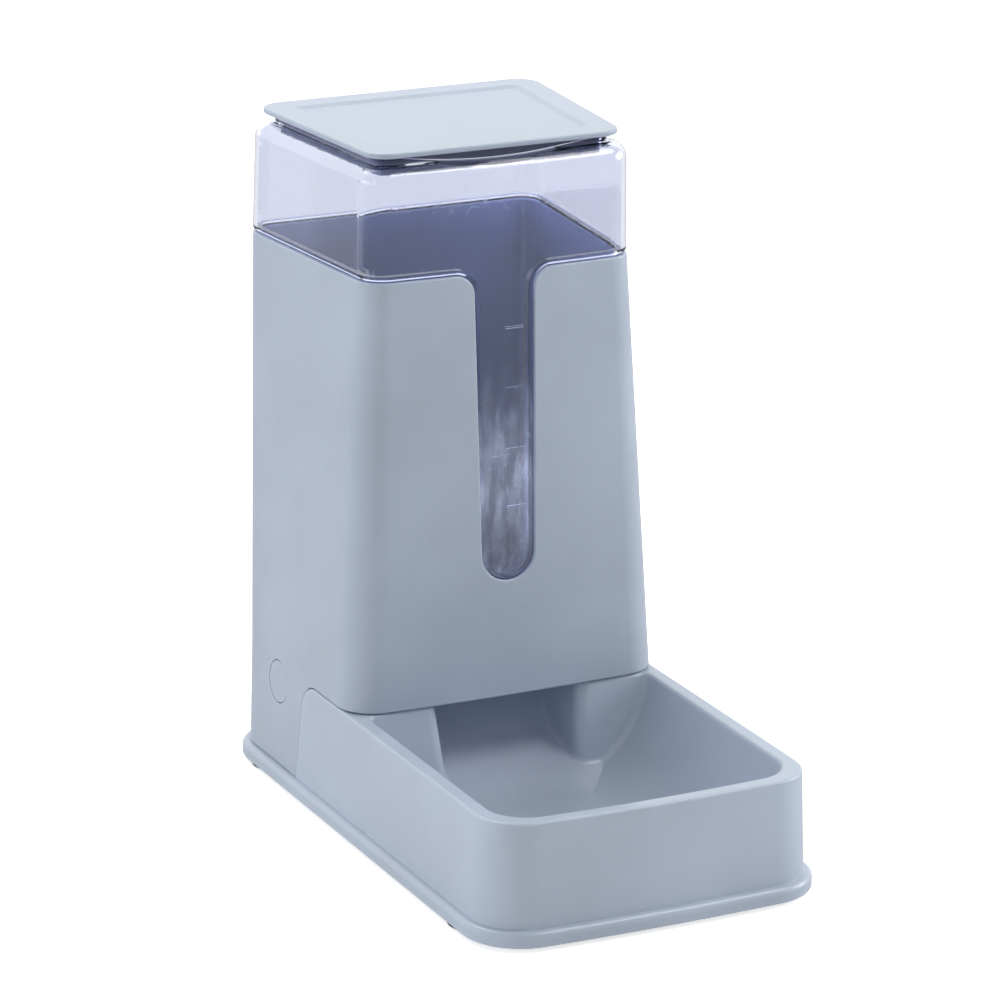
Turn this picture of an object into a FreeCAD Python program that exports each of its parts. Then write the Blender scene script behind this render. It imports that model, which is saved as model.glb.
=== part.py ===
"""Gravity food dispenser: bowl base, tower shell, clear hopper, lid, latches and feet.

Millimetres, +Z up, the bowl in front towards -Y, X across the width. The origin lies on
the floor below the middle of the outer size. Each piece is one shape in its own file.
"""
import math
import os

import FreeCAD
import Part

V = FreeCAD.Vector

# Overall plan size
TOTAL_DEPTH = 285.0
FLANGE_WIDTH = 167.0
FRONT_BOW = 2.8            # how far the front bulges forward in plan
SKIN = 2.4                 # wall thickness of the base and the shell
SEAM = 0.4                 # gap between shell and base, and between hopper and shell
SEAT = 0.3                 # gap at faces that rest on each other

# Base: flange, wall and rim
FLANGE_Z0 = 2.2            # underside of the flange above the floor
FLANGE_HEIGHT = 7.0
FLANGE_R = 27.0
FLANGE_EDGE_TOP = 3.0
FLANGE_EDGE_LOW = 0.8
FLANGE_STEP = 3.95         # the wall stands this far inside the flange
WALL_DRAFT = 1.75          # the wall leans in this much from flange to rim
WALL_HEIGHT = 47.5
WALL_R = 22.5
RIM_WIDTH = 7.7
RIM_R = 21.0
RIM_EDGE_OUT = 1.4
RIM_EDGE_IN = 2.0
FLANGE_Z1 = FLANGE_Z0 + FLANGE_HEIGHT
RIM_Z = FLANGE_Z1 + WALL_HEIGHT

# Tower, its distances counted from the front of the flange
TOWER_FRONT = 150.8
TOWER_LEAN = 11.1          # the front leans back this much from rim to shell top
SHELL_HEIGHT = 195.2
TOWER_IN_FRONT = 12.5      # the top is narrower than the rim by this, each side, in front
TOWER_IN_BACK = 2.9        # and at the back
TOWER_BOW = 2.2
TOWER_R_FOOT_FRONT = 17.0
TOWER_R_FOOT_BACK = 20.0
TOWER_R_TOP = 12.5
SHELL_EDGE = 0.8
TOWER_TOP_Z = RIM_Z + SHELL_HEIGHT
SHELL_FOOT_Z = RIM_Z + SEAM
SKIRT_Z = FLANGE_Z1 + SEAT

# Side seam between base and shell
SEAM_TO_BUTTON = 28.5      # from the seam at the rim back to the middle of the button
SEAM_LEAN = 5.5
SEAM_R = 13.0

# Window slot in the front of the shell
SLOT_HALF_TOP = 14.6
SLOT_HALF_END = 13.1
SLOT_FLARE_R = 9.0
SLOT_LENGTH = 128.0        # from the shell's top to the middle of the round end
SLOT_END_Z = TOWER_TOP_Z - SLOT_LENGTH

# Bowl and chute; in section the bowl's walls are quarter ellipses
BOWL_FLOOR = 12.8          # above the underside of the flange
BOWL_SIDE_REACH = 46.0     # half axes of the walls' ellipses, across and upright
BOWL_FRONT_REACH = 32.0
BOWL_RISE = 50.0
BOWL_SINK = 0.1            # the ellipses run on this far below the floor
BOWL_LEVELS = 7
BOWL_R_RIM = 17.5
BOWL_R_FLOOR_SHARE = 0.809  # corner radius at the floor, over the half width there
FIN_LEAN = 8.0             # the fin faces come forward this much at the floor
FIN_EDGE_R = 6.0
FIN_SEAT_R = 3.0           # hollow rounding between the fin faces and the bowl
FIN_WIDTH = 42.5           # from the outer wall in to the chute, at the rim
CHUTE_DRAFT = 3.7          # the chute is this much narrower each side at the floor
RAMP_FOOT = 127.0          # the floor starts to rise here, behind the flange's front
RAMP_SLOPE = 17.0          # degrees
RAMP_KNEE = 176.0          # the ramp turns steep here
RAMP_HEAD = 199.0
RAMP_FOOT_R = 60.0
RAMP_KNEE_R = 10.0
BOWL_FLOOR_Z = FLANGE_Z0 + BOWL_FLOOR

# Hopper
HOPPER_SKIN = 2.2
BAND_HEIGHT = 51.1         # the part that stands above the shell
BAND_FOOT = 6.0            # up to here the band still leans as the tower does
BAND_IN_FRONT = 0.3        # above that its half widths shrink by this, in front
BAND_IN_BACK = 1.4         # and at the back
BAND_LEAN = 0.4
SHOULDER_R = 7.5
GROOVE_R = 2.2
BODY_GAP = 0.5             # hopper body to the inside of the shell
BODY_DRAFT = 1.5
SPOUT_LIFT = 3.3           # end of the spout above the rim
SPOUT_HEIGHT = 10.0
SPOUT_GAP = 2.3            # spout to the sides of the chute
SPOUT_BACK_GAP = 3.0
SPOUT_FRONT_IN = 4.6       # behind the front of the shell's top
SPOUT_R = 5.0
SPOUT_BOW = 0.3
FUNNEL_HEIGHT = 58.0
COLLAR_HEIGHT = 3.2
COLLAR_INSET = 9.0
COLLAR_SKIN = 2.2
NOTCH_DEPTH = 4.7          # below the collar's top
NOTCH_EDGE = 11.9          # the notch ends this far inside the hopper's side
TICK_DROPS = (25.9, 53.5, 81.3, 107.7)     # level marks below the shell's top
TICK_START = 0.5
TICK_LENGTH = 9.0
TICK_SIZE = 0.9
TICK_SINK = 0.6
HOPPER_TOP_Z = TOWER_TOP_Z + BAND_HEIGHT
BAND_Z = TOWER_TOP_Z + BAND_FOOT
COLLAR_Z = HOPPER_TOP_Z + COLLAR_HEIGHT
SPOUT_Z = RIM_Z + SPOUT_LIFT
SPOUT_TOP_Z = SPOUT_Z + SPOUT_HEIGHT
FUNNEL_Z = SPOUT_TOP_Z + FUNNEL_HEIGHT

# Lid, its edges counted inward from the band's outline at the hopper's top
LID_THICKNESS = 2.5
LID_EDGE_R = 0.9
LID_IN_FRONT = 2.7
LID_IN_BACK = 2.0
LID_IN_SIDE_FRONT = 3.5
LID_IN_SIDE_BACK = 3.6
LID_R = 11.0
LID_BOW = 0.6
PANEL_INSET = 12.0
PANEL_SLOPE = 3.0
PANEL_DEPTH = 0.9
PLUG_DEPTH = 9.0
PLUG_SKIN = 1.8
PLUG_GAP = 0.5
LID_Z0 = COLLAR_Z + SEAT
LID_Z1 = LID_Z0 + LID_THICKNESS

# Latches
BUTTON_FROM_BACK = 50.7
BUTTON_HEIGHT = 38.8       # above the flange
BUTTON_R = 9.8
BUTTON_GAP = 0.45
BUTTON_FLUSH = 0.1
ARM_GAP = 0.55             # arm to the inside of the shell
ARM_THICK = 2.0
ARM_WIDTH = 16.0
ARM_DROP = 0.7             # top of the arm below the rim
PIVOT_HEIGHT = 5.8         # above the flange
PIVOT_R = 2.0
PIVOT_GAP = 0.05
PIVOT_LENGTH = 20.0
POCKET_HALF = 11.0
POCKET_DEPTH = 8.8
POCKET_SKIN = 2.4
BUTTON_Z = FLANGE_Z1 + BUTTON_HEIGHT
PIVOT_Z = FLANGE_Z1 + PIVOT_HEIGHT

# Feet
FOOT_R = 12.0
FOOT_EDGE = 1.6            # from the side of the flange
FOOT_FRONT = 41.0
FOOT_FROM_BACK = 31.2
FOOT_SINK = 1.2
FOOT_GAP = 0.05
FOOT_EDGE_R = 0.5
BOSS_SKIN = 2.4
BOSS_HEIGHT = 4.8

# Derived places
Y0 = -TOTAL_DEPTH / 2 + FRONT_BOW
BACK = TOTAL_DEPTH / 2
WALL_BACK = BACK - FLANGE_STEP
WALL_HALF_FOOT = FLANGE_WIDTH / 2 - FLANGE_STEP
WALL_HALF_RIM = WALL_HALF_FOOT - WALL_DRAFT
CHUTE_HALF_TOP = WALL_HALF_RIM - FIN_WIDTH
CHUTE_HALF_FLOOR = CHUTE_HALF_TOP - CHUTE_DRAFT
BUTTON_Y = BACK - BUTTON_FROM_BACK
SEAM_Y = BUTTON_Y - SEAM_TO_BUTTON
ARM_OUT = WALL_HALF_RIM - SKIN - ARM_GAP
PIVOT_X = ARM_OUT - ARM_THICK / 2
POCKET_IN = ARM_OUT - POCKET_DEPTH
FOOT_X = FLANGE_WIDTH / 2 - FOOT_EDGE - FOOT_R
REAR_INSET = SKIN + SEAM   # the base behind the seam, inside the shell's skirt
LEAST_R = 3.0              # smallest corner radius of an inner outline
FAR = 400.0                # beyond the part, for cutting blocks
PAST = 1.0                 # how far a cut runs past a face
SLACK = 0.02               # how near an edge must lie to be counted as on a face


def behind(distance):
    """Y of a point that lies this far behind the front of the flange."""
    return Y0 + distance


def unit(x, y):
    """The direction (x, y) with length one."""
    length = math.hypot(x, y)
    return x / length, y / length


def arc_between(centre, start, end, radius, z):
    """A short arc about a centre from one point to another."""
    ax, ay = start[0] - centre[0], start[1] - centre[1]
    bx, by = end[0] - centre[0], end[1] - centre[1]
    mx, my = unit(ax + bx, ay + by)
    middle = (centre[0] + mx * radius, centre[1] + my * radius)
    points = [V(p[0], p[1], z) for p in (start, middle, end)]
    return Part.Arc(*points).toShape()


def line_between(start, end, z):
    """A straight edge at height z."""
    return Part.makeLine(V(start[0], start[1], z), V(end[0], end[1], z))


def mirrored(point):
    """The point on the other side of the middle plane."""
    return -point[0], point[1]


def outline(z, half_front, half_back, front, back, r_front, r_back, bow):
    """Closed outline at height z: bowed front, straight sides and back, round corners."""
    dx, dy = unit(half_back - half_front, back - front)
    nx, ny = dy, -dx
    big = (half_front ** 2 + bow ** 2) / (2 * bow)
    cy = front - bow + big
    qx = half_front - r_front * nx
    qy = front - r_front * ny - cy
    along = qx * dx + qy * dy
    t = -along - math.sqrt(along ** 2 - qx ** 2 - qy ** 2 + (big - r_front) ** 2)
    c1 = (qx + t * dx, qy + cy + t * dy)
    side1 = (c1[0] + r_front * nx, c1[1] + r_front * ny)
    reach = math.hypot(c1[0], c1[1] - cy)
    front1 = (c1[0] * big / reach, cy + (c1[1] - cy) * big / reach)
    s = (back - r_back - front + r_back * ny) / dy
    c2 = (half_front - r_back * nx + s * dx, back - r_back)
    side2 = (c2[0] + r_back * nx, c2[1] + r_back * ny)
    back2 = (c2[0], back)
    apex = V(0, front - bow, z)
    left = mirrored
    edges = [
        Part.Arc(V(*left(front1), z), apex, V(*front1, z)).toShape(),
        arc_between(c1, front1, side1, r_front, z),
        line_between(side1, side2, z),
        arc_between(c2, side2, back2, r_back, z),
        line_between(back2, left(back2), z),
        arc_between(left(c2), left(back2), left(side2), r_back, z),
        line_between(left(side2), left(side1), z),
        arc_between(left(c1), left(side1), left(front1), r_front, z),
    ]
    return Part.Wire(edges)


def loft(*wires):
    """A solid through outlines of the same kind."""
    return Part.makeLoft(list(wires), True, True)


def inset_outline(z, half_front, half_back, front, back, r_front, r_back, bow, inset):
    """The outline moved inward by an even distance."""
    slope = (half_back - half_front) / (back - front)
    width_front = half_front + slope * inset - inset
    width_back = half_back - slope * inset - inset
    radii = [max(r - inset, LEAST_R) for r in (r_front, r_back)]
    return outline(z, width_front, width_back, front + inset, back - inset, *radii, bow)


def tower_sizes(z):
    """Half widths, front, back and corner radii of the tower at a height."""
    t = (z - RIM_Z) / SHELL_HEIGHT
    half_front = WALL_HALF_RIM - TOWER_IN_FRONT * t
    half_back = WALL_HALF_RIM - TOWER_IN_BACK * t
    front = behind(TOWER_FRONT + TOWER_LEAN * t)
    r_front = TOWER_R_FOOT_FRONT + (TOWER_R_TOP - TOWER_R_FOOT_FRONT) * t
    r_back = TOWER_R_FOOT_BACK + (TOWER_R_TOP - TOWER_R_FOOT_BACK) * t
    return half_front, half_back, front, WALL_BACK, r_front, r_back


def tower_outline(z, inset=0.0):
    """Outline of the tower at a height between its foot and the hopper's top."""
    return inset_outline(z, *tower_sizes(z), TOWER_BOW, inset)


def tower_solid(z0, z1, inset=0.0):
    """The tower between two heights, its faces moved inward by an even distance."""
    return loft(tower_outline(z0, inset), tower_outline(z1, inset))


def skirt_outline(z, inset=0.0):
    """Outline of the shell below the rim, in line with the base wall."""
    t = (z - FLANGE_Z1) / WALL_HEIGHT
    half = WALL_HALF_FOOT - WALL_DRAFT * t
    rear = WALL_R + (TOWER_R_FOOT_BACK - WALL_R) * t
    front = behind(TOWER_FRONT)
    return inset_outline(z, half, half, front, WALL_BACK, TOWER_R_FOOT_FRONT, rear, TOWER_BOW, inset)


def shell_solid(z0, z1, inset=0.0):
    """The full shell shape from the skirt to a height on the tower."""
    return loft(skirt_outline(z0, inset), tower_outline(RIM_Z, inset), tower_outline(z1, inset))


def wall_outline(z, inset=0.0):
    """Outline of the base wall at a height between the flange and the rim."""
    t = (z - FLANGE_Z1) / WALL_HEIGHT
    half = WALL_HALF_FOOT - WALL_DRAFT * t
    corner = WALL_R + (RIM_R - WALL_R) * t
    rear = WALL_R + (TOWER_R_FOOT_BACK - WALL_R) * t
    front = behind(FLANGE_STEP + WALL_DRAFT * t)
    return inset_outline(z, half, half, front, WALL_BACK, corner, rear, FRONT_BOW, inset)


def wall_solid(z0, z1, inset=0.0):
    """The block inside the base wall between two heights."""
    return loft(wall_outline(z0, inset), wall_outline(z1, inset))


def across(profile):
    """A prism across the whole width from a profile of (y, z) points."""
    points = [V(-FAR / 2, y, z) for y, z in profile]
    face = Part.Face(Part.makePolygon(points + [points[0]]))
    return face.extrude(V(FAR, 0, 0))


def box(x0, x1, y0, y1, z0, z1):
    """A box from its six bounds."""
    return Part.makeBox(x1 - x0, y1 - y0, z1 - z0, V(x0, y0, z0))


def front_region(shift):
    """Everything before the side seam; a shift moves the seam back."""
    top = SEAM_Y + shift
    foot = top + SEAM_LEAN * RIM_Z / WALL_HEIGHT
    z1 = RIM_Z + shift
    solid = across([(-FAR, 0), (foot, 0), (top, z1), (-FAR, z1)])
    edges = [e for e in solid.Edges if edge_at(e, y=top, z=z1)]
    return solid.makeFillet(SEAM_R + shift, edges)


def edge_at(edge, y=None, z=None):
    """Whether both ends of the edge lie on the given coordinates."""
    for vertex in edge.Vertexes:
        for wanted, value in ((y, vertex.Y), (z, vertex.Z)):
            if wanted is not None and abs(value - wanted) > SLACK:
                return False
    return True


def flange_block():
    """The flange as a full plate with a rounded outer edge."""
    half = FLANGE_WIDTH / 2
    args = (half, half, behind(0), BACK, FLANGE_R, FLANGE_R, FRONT_BOW)
    plate = loft(outline(FLANGE_Z0, *args), outline(FLANGE_Z1, *args))
    upper = [e for e in plate.Edges if edge_at(e, z=FLANGE_Z1)]
    plate = plate.makeFillet(FLANGE_EDGE_TOP, upper)
    lower = [e for e in plate.Edges if edge_at(e, z=FLANGE_Z0)]
    return plate.makeFillet(FLANGE_EDGE_LOW, lower)


def scoop_outline(angle, grow):
    """Outline of the bowl's hollow where its wall's ellipse has turned by an angle."""
    centre_z = BOWL_FLOOR_Z - BOWL_SINK + BOWL_RISE
    at_rim = math.cos(math.asin((centre_z - RIM_Z) / BOWL_RISE))
    middle_x = WALL_HALF_RIM - RIM_WIDTH - BOWL_SIDE_REACH * at_rim
    middle_y = behind(FLANGE_STEP + WALL_DRAFT + RIM_WIDTH) + BOWL_FRONT_REACH * at_rim
    half = middle_x + (BOWL_SIDE_REACH + grow) * math.cos(angle)
    front = middle_y - (BOWL_FRONT_REACH + grow) * math.cos(angle)
    z = centre_z - (BOWL_RISE + grow) * math.sin(angle)
    share = math.sin(angle) ** 4
    radius = BOWL_R_RIM + (BOWL_R_FLOOR_SHARE * middle_x - BOWL_R_RIM) * share
    end = behind(TOWER_FRONT) + FAR / 10
    return outline(z, half, half, front, end, radius, radius, FRONT_BOW)


def bowl_scoop(grow=0.0):
    """The bowl's hollow with curved walls, run on behind under the tower."""
    height = BOWL_FLOOR_Z - BOWL_SINK + BOWL_RISE - RIM_Z - PAST
    start = math.asin(height / (BOWL_RISE + grow))
    turn = (math.pi / 2 - start) / (BOWL_LEVELS - 1)
    wires = [scoop_outline(start + turn * k, grow) for k in range(BOWL_LEVELS)]
    return Part.makeLoft(wires, True, False)


def fin_y(z):
    """Y of the leaning plane of the fin faces at a height."""
    return behind(TOWER_FRONT) - FIN_LEAN * (RIM_Z - z) / (RIM_Z - BOWL_FLOOR_Z)


def behind_fins(shift=0.0):
    """Everything behind the plane of the fin faces; a shift moves the plane back."""
    top = RIM_Z + PAST
    return across([(fin_y(0) + shift, 0), (fin_y(top) + shift, top), (FAR, top), (FAR, 0)])


def ramp_block(drop=0.0):
    """Everything below the bowl's floor and the ramp; a drop makes it thinner."""
    gentle = math.radians(RAMP_SLOPE)
    knee_z = BOWL_FLOOR_Z + (RAMP_KNEE - RAMP_FOOT) * math.tan(gentle)
    steep = math.atan2(RIM_Z - knee_z, RAMP_HEAD - RAMP_KNEE)
    points = []
    turns = ((RAMP_FOOT, BOWL_FLOOR_Z, 0.0, gentle), (RAMP_KNEE, knee_z, gentle, steep))
    for distance, z, before, after in turns:
        middle = (before + after) / 2
        reach = drop / math.cos((after - before) / 2)
        points.append((behind(distance) + reach * math.sin(middle), z - reach * math.cos(middle)))
    run = (RIM_Z + 2 * PAST - points[1][1]) / math.tan(steep)
    head = (points[1][0] + run, RIM_Z + 2 * PAST)
    start = (-FAR, BOWL_FLOOR_Z - drop)
    block = across([start, *points, head, (FAR, head[1]), (FAR, -FAR), (-FAR, -FAR)])
    for (y, z), radius in zip(points, (RAMP_FOOT_R + drop, RAMP_KNEE_R + drop)):
        block = block.makeFillet(radius, [e for e in block.Edges if edge_at(e, y=y, z=z)])
    return block


def rectangle(z, half, y0, y1):
    """A rectangular outline at height z."""
    points = [V(-half, y0, z), V(half, y0, z), V(half, y1, z), V(-half, y1, z)]
    return Part.makePolygon(points + [points[0]])


def chute_cavity(grow=0.0):
    """The space between the fins above the ramp, open to the bowl and at the top."""
    start = behind(RAMP_FOOT)
    end = behind(RAMP_HEAD) + 2 * PAST
    low = rectangle(BOWL_FLOOR_Z - grow, CHUTE_HALF_FLOOR + grow, start, end)
    rise = PAST / (RIM_Z - BOWL_FLOOR_Z)
    half = CHUTE_HALF_TOP + (CHUTE_HALF_TOP - CHUTE_HALF_FLOOR) * rise + grow
    return loft(low, rectangle(RIM_Z + PAST, half, start, end)).cut(ramp_block(grow))


def bowl_cavity(grow=0.0):
    """The bowl's hollow in front of the fin faces, above the rising floor."""
    return bowl_scoop(grow).cut([behind_fins(grow), ramp_block(grow)])


def mirror_x(shape):
    """The shape on the other side of the middle plane."""
    return shape.mirror(V(0, 0, 0), V(1, 0, 0))


def pocket_block():
    """The thick place in the left side of the base that carries the latch."""
    half = POCKET_HALF + POCKET_SKIN
    inner = -POCKET_IN + POCKET_SKIN
    return box(-FAR, inner, BUTTON_Y - half, BUTTON_Y + half, FLANGE_Z1 - SKIN, RIM_Z)


def pocket_space():
    """The space in which the left latch stands and tips, with its pivot groove."""
    y0, y1 = BUTTON_Y - POCKET_HALF, BUTTON_Y + POCKET_HALF
    space = box(-FAR, -POCKET_IN, y0, y1, PIVOT_Z, RIM_Z + PAST)
    at = V(-PIVOT_X, y0, PIVOT_Z)
    groove = Part.makeCylinder(PIVOT_R + PIVOT_GAP, 2 * POCKET_HALF, at, V(0, 1, 0))
    return space.fuse(groove)


def fin_edges(body):
    """The two upright edges where the fin faces meet the chute's sides."""
    found = []
    for edge in body.Edges:
        heights = sorted(v.Z for v in edge.Vertexes)
        if len(heights) != 2 or heights[1] < RIM_Z - SLACK or heights[0] > RIM_Z / 2:
            continue
        sides = [abs(v.X) for v in edge.Vertexes]
        depth = max(v.Y for v in edge.Vertexes)
        in_chute = min(sides) > CHUTE_HALF_FLOOR - PAST and max(sides) < CHUTE_HALF_TOP + PAST
        if in_chute and depth < behind(TOWER_FRONT) + PAST / 2:
            found.append(edge)
    return found


def fin_seats(body):
    """The creases where the fin faces meet the bowl's walls and its rising floor."""
    found = []
    for edge in body.Edges:
        first, last = edge.FirstParameter, edge.LastParameter
        points = [edge.valueAt(first + (last - first) * k / 4) for k in range(5)]
        reach = [abs(p.x) for p in points]
        on_plane = all(abs(p.y - fin_y(p.z)) < SLACK for p in points)
        low = min(p.z for p in points) < RIM_Z - SLACK
        beside_edge = max(reach) > CHUTE_HALF_TOP + FIN_EDGE_R + PAST / 2
        if on_plane and low and beside_edge and min(reach) < WALL_HALF_RIM - RIM_WIDTH:
            found.append(edge)
    return found


def inner_rim(body):
    """The closed line round bowl, fins and chute at the height of the rim."""
    side = WALL_HALF_RIM - RIM_WIDTH / 2
    front = behind(FLANGE_STEP + WALL_DRAFT + RIM_WIDTH / 2) - FRONT_BOW
    found = []
    for edge in body.Edges:
        bound = edge.BoundBox
        inside = bound.XMax < side and bound.XMin > -side and bound.YMin > front
        if inside and bound.YMax < WALL_BACK - REAR_INSET and edge_at(edge, z=RIM_Z):
            found.append(edge)
    return found


def wall_and_bowl():
    """The block inside the base wall with rounded rim, bowl, fins and chute."""
    block = wall_solid(FLANGE_Z1 - SKIN, RIM_Z)
    block = block.makeFillet(RIM_EDGE_OUT, [e for e in block.Edges if edge_at(e, z=RIM_Z)])
    body = block.cut(bowl_cavity()).cut(chute_cavity())
    body = body.makeFillet(FIN_EDGE_R, fin_edges(body))
    body = body.makeFillet(FIN_SEAT_R, fin_seats(body))
    return body.makeFillet(RIM_EDGE_IN, inner_rim(body))


def foot_places():
    """The middles of the four feet: front left, front right, rear left, rear right."""
    return [(x, y) for y in (behind(FOOT_FRONT), BACK - FOOT_FROM_BACK) for x in (-FOOT_X, FOOT_X)]


def bowl_base():
    """Base with flange, bowl, fins, chute and latch pockets; open underneath."""
    flange = flange_block().cut([bowl_cavity(), chute_cavity()])
    whole = wall_and_bowl()
    rear = wall_solid(FLANGE_Z1 - SKIN, RIM_Z + PAST, REAR_INSET).common(behind_fins())
    body = flange.fuse([whole.common(front_region(0)), whole.common(rear)])
    hollow_front = wall_solid(FLANGE_Z0 - PAST, RIM_Z - SKIN, SKIN)
    near = box(-FAR, FAR, -FAR, SEAM_Y - SEAM_R - SKIN, -FAR, FAR)
    hollow_rear = wall_solid(FLANGE_Z0 - PAST, RIM_Z - SKIN, REAR_INSET + SKIN)
    hollow = hollow_front.common(near).fuse(hollow_rear)
    hollow = hollow.cut([bowl_cavity(SKIN), chute_cavity(SKIN)])
    skin = body.cut(hollow)
    blocks = [pocket_block(), mirror_x(pocket_block())]
    blocks = [b.common(wall_solid(FLANGE_Z1 - SKIN, RIM_Z, REAR_INSET)) for b in blocks]
    bosses = []
    sinks = []
    for x, y in foot_places():
        at = V(x, y, FLANGE_Z0)
        boss = Part.makeCylinder(FOOT_R + BOSS_SKIN, BOSS_HEIGHT, at)
        bosses.append(boss.common(flange))
        sinks.append(Part.makeCylinder(FOOT_R + FOOT_GAP, FOOT_SINK, at))
    base = skin.fuse(blocks + bosses)
    base = base.cut([pocket_space(), mirror_x(pocket_space())] + sinks)
    return base.removeSplitter()


def slot_profile(offset):
    """Face of the window slot in the XZ plane; an offset makes it smaller."""
    flare_z = TOWER_TOP_Z - SLOT_FLARE_R
    taper = (SLOT_HALF_TOP - SLOT_HALF_END) / (flare_z - SLOT_END_Z)
    nx, nz = unit(1, -taper)
    touch_z = flare_z - SLOT_FLARE_R * nz
    tip_z = SLOT_END_Z + SLOT_HALF_END * nz
    centre = SLOT_HALF_END * nx + taper * (touch_z - tip_z) + SLOT_FLARE_R * nx
    flare = SLOT_FLARE_R + offset
    end = SLOT_HALF_END - offset
    cap = TOWER_TOP_Z + SLOT_FLARE_R
    mx, mz = unit(-nx, 1 - nz)
    up = (centre, flare_z + flare)
    bend = (centre + flare * mx, flare_z + flare * mz)
    low = (centre - flare * nx, flare_z - flare * nz)
    tip = (end * nx, SLOT_END_Z + end * nz)
    right = [V(x, 0, z) for x, z in ((centre, cap), up, bend, low, tip)]
    left = [V(-point.x, 0, point.z) for point in right]
    edges = [
        Part.makeLine(left[0], right[0]),
        Part.makeLine(right[0], right[1]),
        Part.Arc(right[1], right[2], right[3]).toShape(),
        Part.makeLine(right[3], right[4]),
        Part.Arc(right[4], V(0, 0, SLOT_END_Z - end), left[4]).toShape(),
        Part.makeLine(left[4], left[3]),
        Part.Arc(left[3], left[2], left[1]).toShape(),
        Part.makeLine(left[1], left[0]),
    ]
    return Part.Face(Part.Wire(edges))


def slot_solid(offset, end):
    """The window slot run from before the tower back to a depth."""
    face = slot_profile(offset)
    face.translate(V(0, -FAR, 0))
    return face.extrude(V(0, FAR + end, 0))


def rib_reach():
    """Y behind which the window rib has merged with the hopper's body."""
    return behind(TOWER_FRONT + TOWER_LEAN) + SKIN + BODY_GAP + HOPPER_SKIN + BODY_DRAFT


def button_hole(radius):
    """A rod across the left side wall at the button."""
    return Part.makeCylinder(radius, FAR - POCKET_IN, V(-FAR, BUTTON_Y, BUTTON_Z), V(1, 0, 0))


def edges_on(shape, skin, wanted):
    """Edges whose middle lies on the skin and for which wanted(edge, middle) holds."""
    found = []
    for edge in shape.Edges:
        if edge.Length < SHELL_EDGE / 2:
            continue
        middle = edge.valueAt((edge.FirstParameter + edge.LastParameter) / 2)
        if wanted(edge, middle) and skin.distToShape(Part.Vertex(middle))[0] < SLACK:
            found.append(edge)
    return found


def shell_edge_wanted(edge, middle):
    """Edges of the shell's top, window, button holes and apron, not of its seam."""
    start, end = edge.Vertexes[0].Point, edge.Vertexes[-1].Point
    corner_line = abs(start.z - end.z) > SHELL_HEIGHT / 2 and abs(middle.x) > 2 * SLOT_HALF_TOP
    seam_start = SEAM_Y - SEAM_R - SKIN
    seam = middle.z < SHELL_FOOT_Z + PAST and middle.y > seam_start
    return not corner_line and not seam


def tower_shell():
    """Opaque shell: tower walls with the window slot, rear skirt and button holes."""
    outer = shell_solid(SKIRT_Z, TOWER_TOP_Z)
    shell = outer.cut(shell_solid(SKIRT_Z - PAST, TOWER_TOP_Z + PAST, SKIN))
    shell = shell.cut(front_region(SEAM))
    shell = shell.cut(slot_solid(0, rib_reach()))
    hole = button_hole(BUTTON_R + BUTTON_GAP)
    shell = shell.cut([hole, mirror_x(hole)])
    edges = edges_on(shell, outer.Shells[0], shell_edge_wanted)
    return shell.makeFillet(SHELL_EDGE, edges).removeSplitter()


def hopper_body(extra):
    """The part of the hopper inside the shell: straight body, funnel and spout."""
    inset = SKIN + BODY_GAP + extra
    top = top_outline_at(TOWER_TOP_Z + SEAM + HOPPER_SKIN + extra - HOPPER_SKIN / 2, inset)
    low = top_outline_at(FUNNEL_Z, inset + BODY_DRAFT)
    straight = loft(low, top)
    half = CHUTE_HALF_TOP - SPOUT_GAP - extra
    y0 = behind(TOWER_FRONT + TOWER_LEAN + SPOUT_FRONT_IN) + extra
    y1 = behind(RAMP_HEAD - SPOUT_BACK_GAP) - extra
    spout_plan = (half, half, y0, y1, SPOUT_R, SPOUT_R, SPOUT_BOW)
    neck = outline(SPOUT_TOP_Z, *spout_plan)
    mouth = outline(SPOUT_Z - extra, *spout_plan)
    funnel = loft(neck, top_outline_at(FUNNEL_Z, inset + BODY_DRAFT))
    spout = loft(mouth, neck)
    return straight.fuse([funnel, spout])


def top_outline_at(z, inset):
    """The outline of the tower's top, moved inward and placed at height z."""
    wire = tower_outline(TOWER_TOP_Z, inset)
    wire.translate(V(0, 0, z - TOWER_TOP_Z))
    return wire


def band_sizes():
    """Half widths, front, back and corner radii of the hopper's top."""
    half_front, half_back, front, back, r_front, r_back = tower_sizes(BAND_Z)
    widths = half_front - BAND_IN_FRONT, half_back - BAND_IN_BACK
    return *widths, front + BAND_LEAN, back - BAND_LEAN, r_front, r_back


def band_outline(z, inset=0.0):
    """Outline of the hopper's top, moved inward and placed at height z."""
    return inset_outline(z, *band_sizes(), TOWER_BOW, inset)


def hopper_block(inset):
    """Tower shape and upright band up to the hopper's top, with a rounded shoulder."""
    top = HOPPER_TOP_Z - inset
    levels = [tower_outline(z, inset) for z in (RIM_Z, BAND_Z)]
    block = loft(*levels, band_outline(top, inset))
    edges = [e for e in block.Edges if edge_at(e, z=top)]
    return block.makeFillet(SHOULDER_R - inset, edges)


def hopper_zone(z0, offset, end):
    """Where the hopper shows: all above z0, and the window slot below."""
    return box(-FAR, FAR, -FAR, FAR, z0, FAR).fuse(slot_solid(offset, end))


def collar_outline(z, inset):
    """Outline of the raised collar round the filling mouth."""
    return band_outline(z, COLLAR_INSET + inset)


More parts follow.
